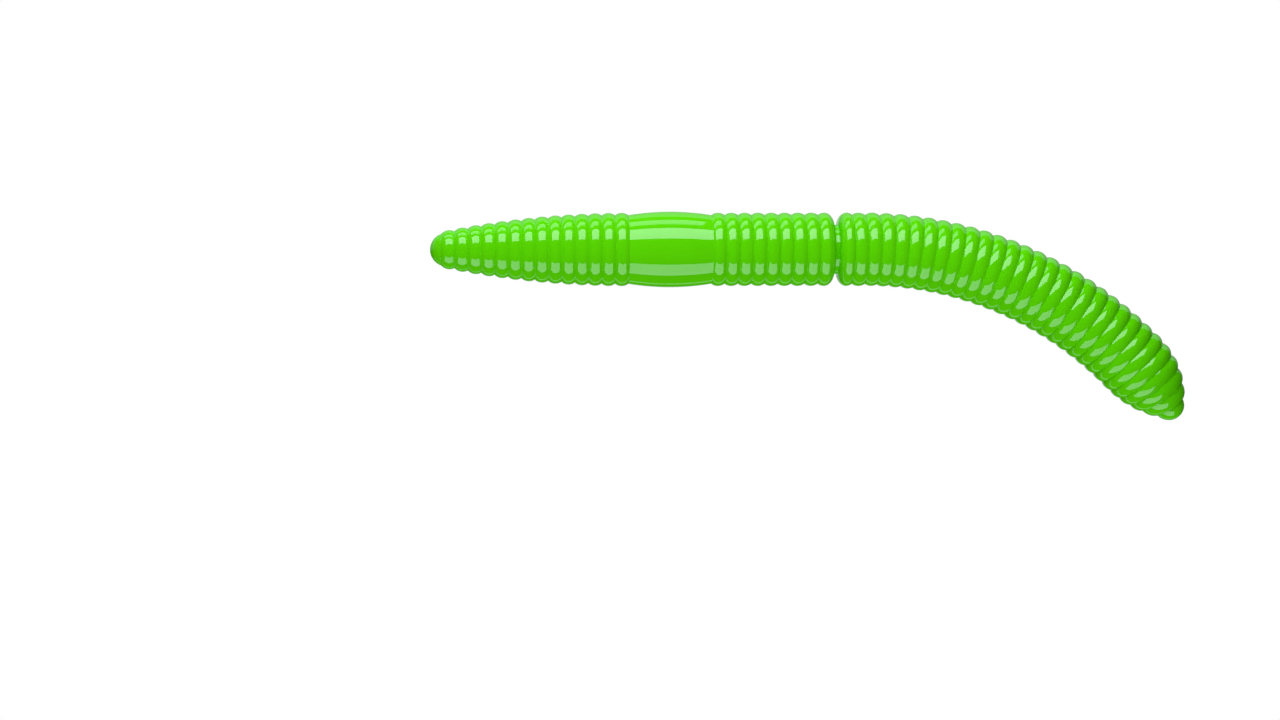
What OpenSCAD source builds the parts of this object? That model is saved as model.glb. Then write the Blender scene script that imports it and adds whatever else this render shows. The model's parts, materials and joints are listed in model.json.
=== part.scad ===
// Soft plastic worm, a fishing lure moulded in one piece of soft plastic.
// It is divided at its grooves into the rings that it is moulded with, one node for each ring.
// Millimetres, +Z up. The worm lies on a level surface at Z = 0 with its centreline in one level
// plane: the nose points to -X, and the tail curves round towards -Y. The origin is under the
// middle of the worm's box.

/* [Rings] */
// Radius at the bottom of the grooves, where the body is at its full thickness
groove_r = 3.21; // [2.6:0.01:3.6]
// How far the crest of a ring stands above its two grooves
bead_rise = 0.21; // [0.08:0.01:0.3]

/* [Head] */
// Number of rings between the nose cap and the saddle
head_rings = 14; // [8:1:16]
// Length of a head ring, from groove to groove
head_pitch = 1.246; // [1.1:0.002:1.4]
// Length of the domed cap at the nose
nose_len = 1.036; // [0.8:0.002:1.4]
// Radius of the groove behind the nose cap
nose_groove_r = 1.48; // [1.2:0.01:1.8]

/* [Saddle] */
// Length of the smooth barrel behind the head
saddle_len = 7.72; // [4:0.02:12]
// Radius at the middle of the barrel
saddle_r = 3.53; // [3.45:0.01:3.9]

/* [Collar] */
// Number of rings between the saddle and the neck
collar_rings = 9; // [7:1:10]
// Length of a collar ring, from groove to groove
collar_pitch = 1.238; // [1.1:0.002:1.4]
// Length of the last collar ring, from its groove to the neck
collar_lip_len = 1.465; // [1.3:0.005:1.8]

/* [Neck] */
// Radius of the thin core between the collar and the tail
neck_r = 2.29; // [1.6:0.01:2.4]
// Width of the gap that the core shows in
neck_len = 0.345; // [0.3:0.005:0.8]
// Radius of the rounded edge on each side of the gap
lip_round = 0.868; // [0.6:0.002:0.88]

/* [Tail] */
// Number of rings between the neck and the tip cap
tail_rings = 29; // [24:1:30]
// Length of a tail ring along the centreline, from groove to groove
tail_pitch = 1.232; // [1.1:0.002:1.4]
// Length of the first tail ring, from the neck to its groove
tail_lip_len = 1.363; // [1.3:0.001:1.8]
// Radius of the curve that the tail's centreline follows
tail_bend_r = 34.8; // [28:0.1:60]
// Length of the taper at the end of the tail
taper_len = 6.35; // [5:0.05:9]
// Fullness of the taper, where a smaller number is blunter
taper_power = 0.78; // [0.6:0.01:1]
// Length of the domed cap at the tip
tip_len = 1.195; // [1:0.005:1.4]

/* [Hidden] */
$fn = 96;
worm_colour = [0.34, 0.82, 0.02];
crest_r = groove_r + bead_rise;

// Places along the straight part of the centreline, measured from the nose
head_end = nose_len + head_rings * head_pitch;
saddle_end = head_end + saddle_len;
collar_lip_start = saddle_end + (collar_rings - 1) * collar_pitch;
collar_end = collar_lip_start + collar_lip_len;
tail_start = collar_end + neck_len;
tail_first_groove = tail_start + tail_lip_len;
bend_start = tail_first_groove + tail_pitch;

// The tail's centreline is straight for two rings and then follows an arc
straight_rings = 2;
ring_angle = tail_pitch / tail_bend_r * 180 / PI;
function tail_angle(i) = (i - straight_rings) * ring_angle;
function tail_point(angle) =
    [bend_start + tail_bend_r * sin(angle), -tail_bend_r * (1 - cos(angle))];

// Radius of the groove at the back of head ring i, on a parabola that levels off at the last ring
head_level = head_end - head_pitch / 2;
function head_groove_r(i) =
    let (left = max(0, head_level - nose_len - i * head_pitch))
    groove_r - (groove_r - nose_groove_r) * pow(left / (head_level - nose_len), 2);

// Radius of the groove at the back of tail ring i, which is full until the taper
function tail_groove_r(i) =
    let (from_tip = tip_len + (tail_rings - i) * tail_pitch)
    let (short = max(0, 1 - from_tip / taper_len))
    groove_r * pow(1 - short * short, taper_power);

// The worm's box, from the nose, the saddle and the widest ring of the tail
tail_middles = [for (i = [straight_rings + 1:tail_rings]) i - 0.5];
tip_ball_r = (tip_len * tip_len + pow(tail_groove_r(tail_rings), 2)) / (2 * tip_len);
tip_angle = tail_angle(tail_rings);
tip_ball = tail_point(tip_angle) + (tip_len - tip_ball_r) * [cos(tip_angle), -sin(tip_angle)];
function tail_crest_r(i) =
    (tail_groove_r(floor(i)) + tail_groove_r(ceil(i))) / 2 + bead_rise;
tail_reach = max([for (i = tail_middles) tail_point(tail_angle(i)).x
    + tail_crest_r(i) * sin(tail_angle(i))]);
tail_drop = min([for (i = tail_middles) tail_point(tail_angle(i)).y
    - tail_crest_r(i) * cos(tail_angle(i))]);
box_end = max(tail_reach, tip_ball.x + tip_ball_r);
box_side = min(tail_drop, tip_ball.y - tip_ball_r);
middle = [box_end / 2, (saddle_r + box_side) / 2];

function numbered(part, i) = str(part, i < 10 ? "_0" : "_", i);

// Puts a shape that is made along the centreline, from the nose, where the worm lies
module in_place() {
    translate([-middle.x, -middle.y, saddle_r]) children();
}

// Turns a flat outline of radius against length into a solid that runs along +X from x
module turned(x = 0) {
    translate([x, 0, 0]) rotate([0, 90, 0]) rotate_extrude() children();
}

// Makes a shape that runs along +X from 0 run along -X from x
module mirror_at(x) {
    translate([x, 0, 0]) mirror([1, 0, 0]) children();
}

// The ring's outline: an arc that stands rise above the chord from radius r0 to radius r1.
// over carries the arc on past both ends, for a ring that is cut to a wedge afterwards.
module bead_outline(length, r0, r1, rise = bead_rise, over = 0) {
    chord = norm([length, r1 - r0]);
    arc_r = (chord * chord / 4 + rise * rise) / (2 * rise);
    depth = (arc_r - rise) / chord;
    arc_centre = [(r0 + r1) / 2 - depth * length, length / 2 + depth * (r1 - r0)];
    translate([0, -over]) {
        square([max(arc_centre.x, r1 / 4), length + 2 * over]);
        intersection() {
            translate(arc_centre + [0, over]) circle(arc_r);
            square([2 * crest_r, length + 2 * over]);
        }
    }
}

// The outline of a ring beside the neck: half a bead, then a rounded edge down to a flat face
module lip_outline(length) {
    to_crest = length - lip_round;
    arc_r = (to_crest * to_crest + bead_rise * bead_rise) / (2 * bead_rise);
    square([groove_r, to_crest]);
    square([crest_r - lip_round, length]);
    intersection() {
        translate([crest_r - arc_r, to_crest]) circle(arc_r);
        square([crest_r, to_crest]);
    }
    intersection() {
        translate([crest_r - lip_round, to_crest]) circle(lip_round);
        translate([0, to_crest]) square([crest_r, lip_round]);
    }
}

// The outline of a domed end cap, from its pole to its groove of radius r
module cap_outline(length, r) {
    ball_r = (length * length + r * r) / (2 * length);
    intersection() {
        translate([0, ball_r]) circle(ball_r);
        square([r, length]);
    }
}

// Everything between the two groove planes that meet on the axis of the tail's curve
module between_grooves(angle0, angle1) {
    clear_r = 1.5 * crest_r;
    reach = tail_bend_r + 2 * clear_r;
    translate([bend_start, -tail_bend_r, 0])
        linear_extrude(height = 2 * clear_r, center = true)
            polygon([[0, 0], reach * [sin(angle0), cos(angle0)], reach * [sin(angle1), cos(angle1)]]);
}

// Turns a shape that starts at the centreline's point at this angle to lie along the tail there
module along_tail(angle) {
    translate(concat(tail_point(angle), 0)) rotate([0, 0, -angle]) children();
}

// A tail ring on the curve, whose two faces both point at the axis of the curve. It is made
// longer than the wedge between them, and then cut to it.
module curved_ring(i) {
    wedge_gain = tail_pitch * crest_r / (2 * tail_bend_r);
    intersection() {
        along_tail(tail_angle(i - 0.5))
            turned(-tail_pitch / 2)
                bead_outline(tail_pitch, tail_groove_r(i - 1), tail_groove_r(i),
                    over = 1.2 * wedge_gain);
        between_grooves(tail_angle(i - 1), tail_angle(i));
    }
}

module nose_cap() {
    color(worm_colour) in_place() turned() cap_outline(nose_len, nose_groove_r);
}

module head_ring(i) {
    color(worm_colour) in_place()
        turned(nose_len + (i - 1) * head_pitch)
            bead_outline(head_pitch, head_groove_r(i - 1), head_groove_r(i));
}

module saddle() {
    color(worm_colour) in_place()
        turned(head_end)
            bead_outline(saddle_len, groove_r, groove_r, rise = saddle_r - groove_r);
}

module collar_ring(i) {
    color(worm_colour) in_place()
        turned(saddle_end + (i - 1) * collar_pitch)
            if (i < collar_rings) bead_outline(collar_pitch, groove_r, groove_r);
            else lip_outline(collar_lip_len);
}

module neck_core() {
    color(worm_colour) in_place() turned(collar_end) square([neck_r, neck_len]);
}

module tail_ring(i) {
    color(worm_colour) in_place()
        if (i == 1) mirror_at(tail_first_groove) turned() lip_outline(tail_lip_len);
        else if (i == 2) turned(tail_first_groove) bead_outline(tail_pitch, groove_r, groove_r);
        else curved_ring(i);
}

module tail_tip() {
    color(worm_colour) in_place()
        along_tail(tip_angle)
            mirror_at(tip_len) turned() cap_outline(tip_len, tail_groove_r(tail_rings));
}

nose_cap();
for (i = [1:head_rings])
    head_ring(i);
saddle();
for (i = [1:collar_rings])
    collar_ring(i);
neck_core();
for (i = [1:tail_rings])
    tail_ring(i);
tail_tip();
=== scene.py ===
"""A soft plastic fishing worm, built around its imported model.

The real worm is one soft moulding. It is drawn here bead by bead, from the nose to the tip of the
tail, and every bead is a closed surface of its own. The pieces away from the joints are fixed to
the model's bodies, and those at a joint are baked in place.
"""

import json
import math

import bpy
import numpy as np
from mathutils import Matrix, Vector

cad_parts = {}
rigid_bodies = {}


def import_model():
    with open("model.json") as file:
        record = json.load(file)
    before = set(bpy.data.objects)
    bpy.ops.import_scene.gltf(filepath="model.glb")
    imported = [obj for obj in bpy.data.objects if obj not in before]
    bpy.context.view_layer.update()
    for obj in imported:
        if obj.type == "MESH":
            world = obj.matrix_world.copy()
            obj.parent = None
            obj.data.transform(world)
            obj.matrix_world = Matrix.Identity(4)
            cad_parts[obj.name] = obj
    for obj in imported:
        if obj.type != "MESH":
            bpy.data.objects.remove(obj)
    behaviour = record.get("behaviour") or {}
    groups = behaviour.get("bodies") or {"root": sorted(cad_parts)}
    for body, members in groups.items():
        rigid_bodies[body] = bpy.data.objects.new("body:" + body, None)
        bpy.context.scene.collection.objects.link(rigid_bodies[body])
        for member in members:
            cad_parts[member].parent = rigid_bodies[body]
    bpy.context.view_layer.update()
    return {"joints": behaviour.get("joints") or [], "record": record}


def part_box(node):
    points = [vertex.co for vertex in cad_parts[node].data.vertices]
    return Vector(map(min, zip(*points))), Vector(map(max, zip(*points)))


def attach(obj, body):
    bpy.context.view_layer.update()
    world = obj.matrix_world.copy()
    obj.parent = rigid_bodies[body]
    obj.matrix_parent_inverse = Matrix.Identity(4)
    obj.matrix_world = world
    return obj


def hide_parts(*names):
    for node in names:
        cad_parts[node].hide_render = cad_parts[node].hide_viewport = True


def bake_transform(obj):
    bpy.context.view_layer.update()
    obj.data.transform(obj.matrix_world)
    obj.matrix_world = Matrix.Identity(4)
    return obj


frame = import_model()

# ---------------------------------------------------------------------------
# Head rings
# Fourteen round beads that grow from the nose to full thickness. They are moulded in one with
# each other, of one soft green plastic with a wet-looking skin, and only a sharp groove parts them.
# ---------------------------------------------------------------------------
MM = 0.001
HEAD_RINGS = 14
GROOVE_RADIUS = 3.21 * MM
BEAD_RISE = 0.21 * MM
NOSE_GROOVE_RADIUS = 1.48 * MM
HINGE_EVERY = 3
AROUND = 128
ACROSS = 20
PIGMENT = (0.101, 0.665, 0.0014, 1)
PALE_PIGMENT = (0.105, 0.69, 0.0018, 1)
CLOUD_SCALE = 420.0
CLOUD_DETAIL = 2.0
SKIN_ROUGHNESS = 0.03
CLOUD_ROUGHNESS = 0.01
PLASTIC_IOR = 1.5
RIPPLE_SCALE = 500.0
RIPPLE_DETAIL = 1.0
RIPPLE_DEPTH = 0.01 * MM
RIPPLE_STRENGTH = 0.2

nose_low, nose_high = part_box("nose_cap")
axis_y = (nose_low.y + nose_high.y) / 2
axis_z = (nose_low.z + nose_high.z) / 2


class Term:
    """A shader value that takes part in arithmetic: each operator adds one Math node."""

    def __init__(self, tree, socket):
        self.tree, self.socket = tree, socket

    def node(self, kind, settings=None, **inputs):
        """Adds any node, with its settings first and then its inputs, by name or number."""
        made = self.tree.nodes.new(kind)
        for key, value in (settings or {}).items():
            setattr(made, key, value)
        for key, value in inputs.items():
            socket = made.inputs[int(key[1:]) if key[0] == "_" else key.replace("_", " ")]
            if isinstance(value, Term):
                self.tree.links.new(value.socket, socket)
            else:
                socket.default_value = value
        return made

    def out(self, kind, output=0, settings=None, **inputs):
        """Adds a node and gives one of its outputs back as a term."""
        return Term(self.tree, self.node(kind, settings, **inputs).outputs[output])

    def maths(self, operation, first, second=0.0):
        """Adds one Math node on two values or terms."""
        return self.out("ShaderNodeMath", settings={"operation": operation}, _0=first, _1=second)

    def __add__(self, other):
        return self.maths("ADD", self, other)

    def __sub__(self, other):
        return self.maths("SUBTRACT", self, other)

    def __rsub__(self, other):
        return self.maths("SUBTRACT", other, self)

    def __mul__(self, other):
        return self.maths("MULTIPLY", self, other)

    def __gt__(self, other):
        return self.maths("GREATER_THAN", self, other)

    def __lt__(self, other):
        return self.maths("LESS_THAN", self, other)

    __radd__ = __add__
    __rmul__ = __mul__


def soft_plastic():
    """The worm's one material, with a cloudy pigment and a faint ripple in the skin."""
    material = bpy.data.materials.new("soft_plastic")
    material.use_nodes = True
    tree = material.node_tree
    tree.nodes.clear()
    place = Term(tree, tree.nodes.new("ShaderNodeTexCoord").outputs["Object"])
    cloud = place.out("ShaderNodeTexNoise", Vector=place, Scale=CLOUD_SCALE, Detail=CLOUD_DETAIL)
    ripple = place.out("ShaderNodeTexNoise", Vector=place, Scale=RIPPLE_SCALE, Detail=RIPPLE_DETAIL)
    colour = place.out(
        "ShaderNodeMix", 2, {"data_type": "RGBA"}, _0=cloud, _6=PIGMENT, _7=PALE_PIGMENT
    )
    bump = place.out(
        "ShaderNodeBump", Height=ripple, Strength=RIPPLE_STRENGTH, Distance=RIPPLE_DEPTH
    )
    shader = place.out(
        "ShaderNodeBsdfPrincipled",
        Base_Color=colour,
        Roughness=cloud * CLOUD_ROUGHNESS + SKIN_ROUGHNESS,
        Normal=bump,
        IOR=PLASTIC_IOR,
    )
    place.node("ShaderNodeOutputMaterial", Surface=shader)
    return material


plastic = soft_plastic()


def worm_piece(name, rows, smooth_from=0, smooth_to=None):
    """A closed surface through rows of points that go round the worm.

    A row is either AROUND points or a single pole. smooth_from and smooth_to are the first and
    last row of the skin that shows: their edges are sharp, because a flat inner face or a groove
    starts there. A pole has no such edge, and without these the skin runs from end to end.
    """
    starts = np.cumsum([0] + [len(row) for row in rows[:-1]])
    here = np.arange(AROUND)
    following = (here + 1) % AROUND
    faces = []
    for one, two, first, second in zip(rows, rows[1:], starts, starts[1:]):
        if len(one) == 1:
            corners = [np.full(AROUND, first), second + following, second + here]
        elif len(two) == 1:
            corners = [first + here, first + following, np.full(AROUND, second)]
        else:
            corners = [first + here, first + following, second + following, second + here]
        faces += np.stack(corners, 1).tolist()
    mesh = bpy.data.meshes.new(name)
    mesh.from_pydata(np.concatenate(rows).tolist(), [], faces)
    mesh.shade_smooth()
    ends = np.zeros(2 * len(mesh.edges), int)
    mesh.edges.foreach_get("vertices", ends)
    row_of = np.searchsorted(starts, ends, side="right").reshape(-1, 2) - 1
    last = len(rows) - 1 if smooth_to is None else smooth_to
    along_row = row_of[:, 0] == row_of[:, 1]
    sharp = along_row & ((row_of[:, 0] == smooth_from) | (row_of[:, 0] == last))
    mesh.attributes.new("sharp_edge", "BOOLEAN", "EDGE").data.foreach_set("value", sharp)
    mesh.materials.append(plastic)
    mesh.validate()
    piece = bpy.data.objects.new(name, mesh)
    bpy.context.scene.collection.objects.link(piece)
    return piece


def groove_plane(x):
    """A groove's place before the bend: the centreline's point at x, and its turn so far, none."""
    return np.array([x, axis_y, axis_z]), 0.0


def frame_at(turn):
    """The centreline's direction, and the level direction square to it, after this much turn."""
    along = np.array([math.cos(turn), -math.sin(turn), 0.0])
    outward = np.array([math.sin(turn), math.cos(turn), 0.0])
    return along, outward


def bead_rows(front, back, front_radii, back_radii, reach=None, rise=BEAD_RISE, across=ACROSS):
    """Rows of points over one bead, from its front groove to its back groove.

    In each half plane through the centreline the bead is an arc of a circle through its two
    groove points. The arc's radius is that of the bead on a straight worm, which stands rise
    above the chord. A groove's radius, and the reach from the bead's middle to its grooves, may
    be one number or one for each angle round the worm. Without a reach it is half the length.
    """
    angles = np.arange(AROUND) * 2 * math.pi / AROUND
    along, outward = frame_at((front[1] + back[1]) / 2)
    middle = (front[0] + back[0]) / 2
    length = np.linalg.norm(back[0] - front[0])
    chord = math.hypot(length, np.mean(back_radii) - np.mean(front_radii))
    arc_radius = (chord**2 / 4 + rise**2) / (2 * rise)
    reach = (length / 2 if reach is None else reach) + 0 * angles
    start = np.stack([-reach, front_radii + 0 * angles], 1)
    end = np.stack([reach, back_radii + 0 * angles], 1)
    span = np.linalg.norm(end - start, axis=1, keepdims=True)
    direction = (end - start) / span
    up = np.stack([-direction[:, 1], direction[:, 0]], 1)
    centre = (start + end) / 2 - up * np.sqrt(arc_radius**2 - span**2 / 4)
    half_angle = np.arcsin(span / 2 / arc_radius)
    rim = outward * np.cos(angles)[:, None] + np.array([0, 0, 1.0]) * np.sin(angles)[:, None]
    rows = []
    for share in np.linspace(-1, 1, across + 1):
        swing = share * half_angle
        flat = centre + arc_radius * (direction * np.sin(swing) + up * np.cos(swing))
        rows.append(middle + along * flat[:, :1] + rim * flat[:, 1:])
    return rows


flex_joints = {
    item["node"]: joint for joint in frame["joints"] for item in joint.get("deforming_nodes", [])
}
body_of = {
    node: body for body, nodes in frame["record"]["behaviour"]["bodies"].items() for node in nodes
}


def fix_ring(piece, part, number, groove):
    """Fixes a ring's piece to its body, or only bakes it in place if a joint acts in its group of
    three rings.

    Every third ring is the one that a joint acts in. For the rings of its group, the planes at the
    group's ends are worked out but not used, so the piece is not bent with the joint. groove(n) is
    the plane at the back of ring n.
    """
    node = f"{part}_{number:02d}"
    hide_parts(node)
    hinge_ring = HINGE_EVERY * ((number + 1) // HINGE_EVERY)
    joint = flex_joints.get(f"{part}_{hinge_ring:02d}")
    if joint is None:
        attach(piece, body_of[node])
        return
    limits = [groove(hinge_ring - 2)[0], groove(hinge_ring + 1)[0]]
    if body_of[f"{part}_{hinge_ring - 1:02d}"] != joint["parent"]:
        limits.reverse()
    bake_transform(piece)


def head_groove(number):
    """The plane at the back of a head ring. Groove 0 is behind the nose cap."""
    if number == 0:
        return groove_plane(nose_high.x)
    return groove_plane(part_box(f"head_ring_{number:02d}")[1].x)


head_level_x = np.mean([corner.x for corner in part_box(f"head_ring_{HEAD_RINGS:02d}")])


def head_groove_radius(x):
    """Grows along a parabola from the nose cap, and is level from the last ring's middle on."""
    left = max(0.0, head_level_x - x) / (head_level_x - nose_high.x)
    return GROOVE_RADIUS - (GROOVE_RADIUS - NOSE_GROOVE_RADIUS) * left**2


def closed_ring(name, rows):
    """A bead with a flat inner face at each groove, so that it is a solid of its own."""
    ends = [rows[0].mean(0)[None], *rows, rows[-1].mean(0)[None]]
    return worm_piece(name, ends, smooth_from=1, smooth_to=len(ends) - 2)


for number in range(1, HEAD_RINGS + 1):
    front, back = head_groove(number - 1), head_groove(number)
    rows = bead_rows(front, back, head_groove_radius(front[0][0]), head_groove_radius(back[0][0]))
    piece = closed_ring(f"head_bead_{number:02d}", rows)
    fix_ring(piece, "head_ring", number, head_groove)

# ---------------------------------------------------------------------------
# Nose cap
# The blunt round end that the hook goes into, moulded in one with the first bead. It is a part
# of a sphere.
# ---------------------------------------------------------------------------
CAP_ROWS = 18


def cap_rows(pole, groove, radius):
    """Rows over a domed cap: a part of a sphere from its pole to a groove of this radius."""
    length = np.linalg.norm(groove[0] - pole)
    inward = (groove[0] - pole) / length
    ball = (length**2 + radius**2) / (2 * length)
    edge_angle = math.acos((ball - length) / ball)
    angles = np.arange(AROUND) * 2 * math.pi / AROUND
    outward = frame_at(groove[1])[1]
    rim = outward * np.cos(angles)[:, None] + np.array([0, 0, 1.0]) * np.sin(angles)[:, None]
    rows = [pole[None]]
    for angle in np.linspace(0, edge_angle, CAP_ROWS + 1)[1:]:
        rows.append(pole + inward * ball * (1 - math.cos(angle)) + rim * ball * math.sin(angle))
    return rows


nose_pole = np.array([nose_low.x, axis_y, axis_z])
rows = cap_rows(nose_pole, head_groove(0), NOSE_GROOVE_RADIUS)
nose_dome = worm_piece("nose_dome", [*rows, rows[-1].mean(0)[None]], smooth_to=len(rows) - 1)
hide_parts("nose_cap")
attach(nose_dome, body_of["nose_cap"])

# ---------------------------------------------------------------------------
# Saddle
# The smooth barrel behind the head, like the band on a real worm. It is the thickest place, so
# it is what the worm lies on.
# ---------------------------------------------------------------------------
SADDLE_ROWS = 60
saddle_low, saddle_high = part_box("saddle")
saddle_rise = (saddle_high.z - saddle_low.z) / 2 - GROOVE_RADIUS
rows = bead_rows(
    groove_plane(saddle_low.x), groove_plane(saddle_high.x), GROOVE_RADIUS, GROOVE_RADIUS,
    rise=saddle_rise, across=SADDLE_ROWS,
)
barrel = closed_ring("saddle_barrel", rows)
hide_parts("saddle")
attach(barrel, body_of["saddle"])

# ---------------------------------------------------------------------------
# Collar rings
# Nine equal beads between the saddle and the neck. The last one rolls over into the neck.
# ---------------------------------------------------------------------------
COLLAR_RINGS = 9
NECK_RADIUS = 2.29 * MM
LIP_REACH = 0.868 * MM
LIP_ROWS = 22


def collar_groove(number):
    """The plane at the back of a collar ring. Groove 0 is at the saddle's end."""
    if number == 0:
        return groove_plane(saddle_high.x)
    return groove_plane(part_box(f"collar_ring_{number:02d}")[1].x)


def lip_rows(groove_x, neck_x):
    """Rows over the bead beside the neck, from its groove to its face in the neck gap.

    Half a bead rises to the crest, and a quarter of an ellipse rolls down from there to the
    neck: LIP_REACH long, and as high as the crest stands above the neck.
    """
    side = 1 if neck_x > groove_x else -1
    to_crest = abs(neck_x - groove_x) - LIP_REACH
    arc_radius = (to_crest**2 + BEAD_RISE**2) / (2 * BEAD_RISE)
    crest = GROOVE_RADIUS + BEAD_RISE
    rising = np.linspace(-math.asin(to_crest / arc_radius), 0, LIP_ROWS // 2 + 1)
    falling = np.linspace(0, math.pi / 2, LIP_ROWS + 1)[1:]
    lengths = np.r_[to_crest + arc_radius * np.sin(rising), to_crest + LIP_REACH * np.sin(falling)]
    radii = np.r_[
        crest - arc_radius * (1 - np.cos(rising)),
        NECK_RADIUS + (crest - NECK_RADIUS) * np.cos(falling),
    ]
    angles = np.arange(AROUND) * 2 * math.pi / AROUND
    rim = np.stack([0 * angles, np.cos(angles), np.sin(angles)], 1)
    start = np.array([groove_x, axis_y, axis_z])
    rows = [start + side * length * np.array([1.0, 0, 0]) + radius * rim
            for length, radius in zip(lengths, radii)]
    return rows if side > 0 else rows[::-1]


for number in range(1, COLLAR_RINGS):
    rows = bead_rows(collar_groove(number - 1), collar_groove(number), GROOVE_RADIUS, GROOVE_RADIUS)
    piece = closed_ring(f"collar_bead_{number:02d}", rows)
    fix_ring(piece, "collar_ring", number, collar_groove)

neck_low, neck_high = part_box("neck_core")
lip = closed_ring("collar_lip", lip_rows(collar_groove(COLLAR_RINGS - 1)[0][0], neck_low.x))
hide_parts(f"collar_ring_{COLLAR_RINGS:02d}")
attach(lip, body_of[f"collar_ring_{COLLAR_RINGS:02d}"])

# ---------------------------------------------------------------------------
# Neck core
# The thin waist between the collar and the tail. Its joints bend it sideways in its front half and
# up or down in its back half. Each half is a short sleeve, baked in place and not fixed to a body.
# ---------------------------------------------------------------------------
NECK_ROWS = 5
neck_middle_x = (neck_low.x + neck_high.x) / 2


def sleeve_rows(start_x, end_x):
    """Rows of circles of NECK_RADIUS from start_x to end_x."""
    angles = np.arange(AROUND) * 2 * math.pi / AROUND
    rim = np.stack([0 * angles, np.cos(angles), np.sin(angles)], 1) * NECK_RADIUS
    return [np.array([x, axis_y, axis_z]) + rim for x in np.linspace(start_x, end_x, NECK_ROWS)]


for joint in frame["joints"]:
    if body_of["neck_core"] not in (joint["parent"], joint["child"]):
        continue
    at_front = joint["child"] == body_of["neck_core"]
    ends = (neck_low.x, neck_middle_x) if at_front else (neck_middle_x, neck_high.x)
    sleeve = closed_ring("neck_front" if at_front else "neck_back", sleeve_rows(*ends))
    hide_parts("neck_core")
    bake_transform(sleeve)

# ---------------------------------------------------------------------------
# Tail rings
# Twenty-nine beads. From the third on they follow the bend, thinner on its inner side, and the
# last few shrink to the tip.
# ---------------------------------------------------------------------------
TAIL_RINGS = 29
STRAIGHT_TAIL_RINGS = 2
TAIL_PITCH = 1.232 * MM
TAIL_BEND_RADIUS = 34.8 * MM
TAPER_LENGTH = 6.35 * MM
TAPER_POWER = 0.78
TIP_LENGTH = 1.195 * MM

bend_start_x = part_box(f"tail_ring_{STRAIGHT_TAIL_RINGS:02d}")[1].x


def tail_groove_plane(number):
    """The place at the back of a tail ring: a point of the centreline, and its turn so far.

    The bend is one level arc of TAIL_BEND_RADIUS that starts behind the straight rings and turns
    towards -Y, and its grooves are a pitch of arc apart.
    """
    if number < STRAIGHT_TAIL_RINGS:
        return groove_plane(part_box(f"tail_ring_{number + 1:02d}")[0].x)
    turn = (number - STRAIGHT_TAIL_RINGS) * TAIL_PITCH / TAIL_BEND_RADIUS
    across_bend = TAIL_BEND_RADIUS * (1 - math.cos(turn))
    along_bend = TAIL_BEND_RADIUS * math.sin(turn)
    return np.array([bend_start_x + along_bend, axis_y - across_bend, axis_z]), turn


def tail_reach(number, radius):
    """Distance from a tail bead's middle to its grooves, for each angle round the worm.

    On the bend both planes pass through the bend's centre, so it is the tangent of half their
    angle times the distance from that centre. On the straight there is none to give, because
    bead_rows then takes half the bead's length.
    """
    if number <= STRAIGHT_TAIL_RINGS:
        return None
    half_turn = (tail_groove_plane(number)[1] - tail_groove_plane(number - 1)[1]) / 2
    angles = np.arange(AROUND) * 2 * math.pi / AROUND
    from_centre = TAIL_BEND_RADIUS * math.cos(half_turn) + radius * np.cos(angles)
    return math.tan(half_turn) * from_centre


def tail_groove_radius(number):
    """Full until the taper, where it is multiplied by a power of one less a square.

    The square is that of how far along the taper the groove is, from 0 at its start to 1 at the
    tip.
    """
    from_tip = TIP_LENGTH + (TAIL_RINGS - number) * TAIL_PITCH
    short = max(0.0, 1 - from_tip / TAPER_LENGTH)
    return GROOVE_RADIUS * (1 - short**2) ** TAPER_POWER


def tail_groove_radii(number):
    """A tail groove's radius for each angle round the worm.

    On the bend the planes spread towards the outer side, so the beads' arcs meet lower there: by
    the slope of a bead at its groove times the extra distance to the plane, averaged over both.
    """
    angles = np.arange(AROUND) * 2 * math.pi / AROUND
    radius = tail_groove_radius(number)
    bead_half = TAIL_PITCH / 2
    arc_radius = (bead_half**2 + BEAD_RISE**2) / (2 * BEAD_RISE)
    slope = bead_half / (arc_radius - BEAD_RISE)
    bent_sides = (number > STRAIGHT_TAIL_RINGS) + (STRAIGHT_TAIL_RINGS <= number < TAIL_RINGS)
    extra = math.tan(bead_half / TAIL_BEND_RADIUS) * radius * np.cos(angles)
    return radius - slope * extra * bent_sides / 2


lip = closed_ring("tail_lip", lip_rows(tail_groove_plane(1)[0][0], neck_high.x))
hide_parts("tail_ring_01")
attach(lip, body_of["tail_ring_01"])

for number in range(2, TAIL_RINGS + 1):
    front, back = tail_groove_plane(number - 1), tail_groove_plane(number)
    radius = (tail_groove_radius(number - 1) + tail_groove_radius(number)) / 2
    front_radii, back_radii = tail_groove_radii(number - 1), tail_groove_radii(number)
    rows = bead_rows(front, back, front_radii, back_radii, reach=tail_reach(number, radius))
    piece = closed_ring(f"tail_bead_{number:02d}", rows)
    fix_ring(piece, "tail_ring", number, tail_groove_plane)

# ---------------------------------------------------------------------------
# Tail tip
# The small dome that closes the tail, moulded in one with the last bead. It is a part of a sphere,
# as wide as the groove in front of it.
# ---------------------------------------------------------------------------
tip_groove = tail_groove_plane(TAIL_RINGS)
tip_pole = tip_groove[0] + TIP_LENGTH * frame_at(tip_groove[1])[0]
rows = cap_rows(tip_pole, tip_groove, tail_groove_radius(TAIL_RINGS))[::-1]
tip_dome = worm_piece("tip_dome", [rows[0].mean(0)[None], *rows], smooth_from=1)
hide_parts("tail_tip")
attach(tip_dome, body_of["tail_tip"])

# ---------------------------------------------------------------------------
# Sheet, softboxes and camera
# A bright white sheet fills the view, with room above it for the worm to bend down. A key softbox
# and a smaller one stand close by on the worm's +Y side, a large one and a low strip further off
# on its -Y side, and the camera looks straight down from above.
# ---------------------------------------------------------------------------
SHEET_SIZE = 40.0
SHEET_DROP = 50 * MM

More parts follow.
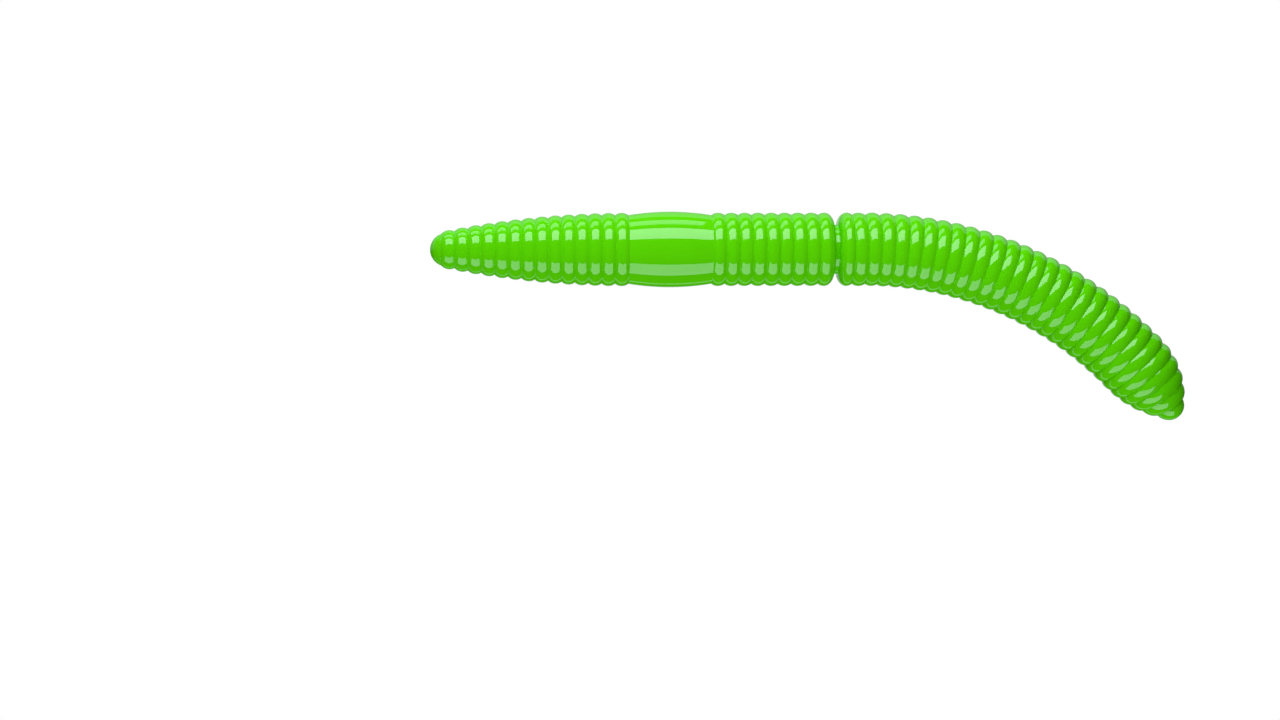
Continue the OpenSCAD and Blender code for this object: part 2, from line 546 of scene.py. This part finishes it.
sheet_mesh = bpy.data.meshes.new("sheet")
half = SHEET_SIZE / 2
corners = [(-half, -half), (half, -half), (half, half), (-half, half)]
sheet_mesh.from_pydata([(x, y, -SHEET_DROP) for x, y in corners], [], [(0, 1, 2, 3)])
sheet = bpy.data.objects.new("sheet", sheet_mesh)
bpy.context.scene.collection.objects.link(sheet)
white = bpy.data.materials.new("white_sheet")
white.use_nodes = True
white.node_tree.nodes.clear()
paper = Term(white.node_tree, None)
light = paper.out("ShaderNodeEmission", Color=(1, 1, 1, 1), Strength=1.0)
paper.node("ShaderNodeOutputMaterial", Surface=light)
sheet_mesh.materials.append(white)
sheet.visible_glossy = False
sheet.visible_diffuse = False
sheet.visible_shadow = False


def softbox(name, tilt, distance, sides, ends, radiance):
    """A flat softbox that faces the worm from a direction tilted from straight up towards +Y.

    sides are its edges along X, and ends its edges the way that the tilt grows, all in metres from
    the point that faces the origin squarely. Its power is its radiance times its area times pi.
    """
    angle = math.radians(tilt)
    light = bpy.data.lights.new(name, "AREA")
    light.shape = "RECTANGLE"
    light.size = sides[1] - sides[0]
    light.size_y = ends[1] - ends[0]
    light.energy = radiance * light.size * light.size_y * math.pi
    box = bpy.data.objects.new(name, light)
    along = sum(ends) / 2
    box.location = (
        sum(sides) / 2,
        distance * math.sin(angle) + along * math.cos(angle),
        distance * math.cos(angle) - along * math.sin(angle),
    )
    box.rotation_euler = (-angle, 0, 0)
    box.visible_camera = False
    bpy.context.scene.collection.objects.link(box)


softbox("key_softbox", 50, 0.165, sides=(-0.135, 0.063), ends=(-0.0553, 0.0454), radiance=4.95)
softbox("side_softbox", 88, 0.130, sides=(-0.117, 0.022), ends=(-0.0215, 0.0189), radiance=2.4)
softbox("front_softbox", -68, 0.82, sides=(-0.697, 0.500), ends=(-0.312, 0.283), radiance=2.85)
softbox("low_strip", -135, 0.82, sides=(-1.07, 0.70), ends=(-0.035, 0.074), radiance=0.8)

# The surroundings are plain white to the camera. The skin reflects a rim of light on the +Y side,
# which fades as it goes down, and the sheet right below. The pigment gets a weak fill from all
# round and the sheet's bounce from below.
RIM_START = math.radians(117)
RIM_FADE = math.radians(45)
RIM_END = 0.72
RIM_GLOW = 0.82
GRAZING_DOWN = -0.94
GRAZING_GLOW = 0.5
FILL = 0.075
SHEET_BOUNCE = 0.28

world = bpy.data.worlds.new("studio")
bpy.context.scene.world = world
world.use_nodes = True
world.node_tree.nodes.clear()
sky = Term(world.node_tree, world.node_tree.nodes.new("ShaderNodeTexCoord").outputs["Generated"])
parts = sky.node("ShaderNodeSeparateXYZ", Vector=sky)
sky_x, sky_y, sky_z = (Term(sky.tree, part) for part in parts.outputs)
turn = sky.maths("ARCTAN2", sky_y, sky_z)
fade = sky.maths("EXPONENT", (RIM_START - turn) * (1 / RIM_FADE))
rim = (turn > RIM_START) * (sky_x < RIM_END) * fade * RIM_GLOW
grazing = (sky_z < GRAZING_DOWN) * GRAZING_GLOW
fill = (sky_z < 0) * SHEET_BOUNCE + FILL
rays = sky.node("ShaderNodeLightPath")
camera_ray, diffuse_ray, glossy_ray = (
    Term(sky.tree, rays.outputs[f"Is {kind} Ray"]) for kind in ("Camera", "Diffuse", "Glossy")
)
strength = glossy_ray * (rim + grazing) + diffuse_ray * fill + camera_ray
backdrop = sky.out("ShaderNodeBackground", Color=(1, 1, 1, 1), Strength=strength)
sky.node("ShaderNodeOutputWorld", Surface=backdrop)

CAMERA_HEIGHT = 225.8 * MM
CAMERA_X = -27.26 * MM
CAMERA_Y = -4.07 * MM
CAMERA_ROLL = math.radians(-0.064)
CAMERA_SHIFT = 0.0982
LENS = 68.15

camera_data = bpy.data.cameras.new("camera")
camera_data.lens = LENS
camera_data.shift_x = CAMERA_SHIFT
camera = bpy.data.objects.new("camera", camera_data)
camera.location = (CAMERA_X, CAMERA_Y, axis_z + CAMERA_HEIGHT)
camera.rotation_euler = (0, 0, CAMERA_ROLL)
bpy.context.scene.collection.objects.link(camera)
bpy.context.scene.camera = camera
bpy.context.scene.view_settings.view_transform = "Standard"
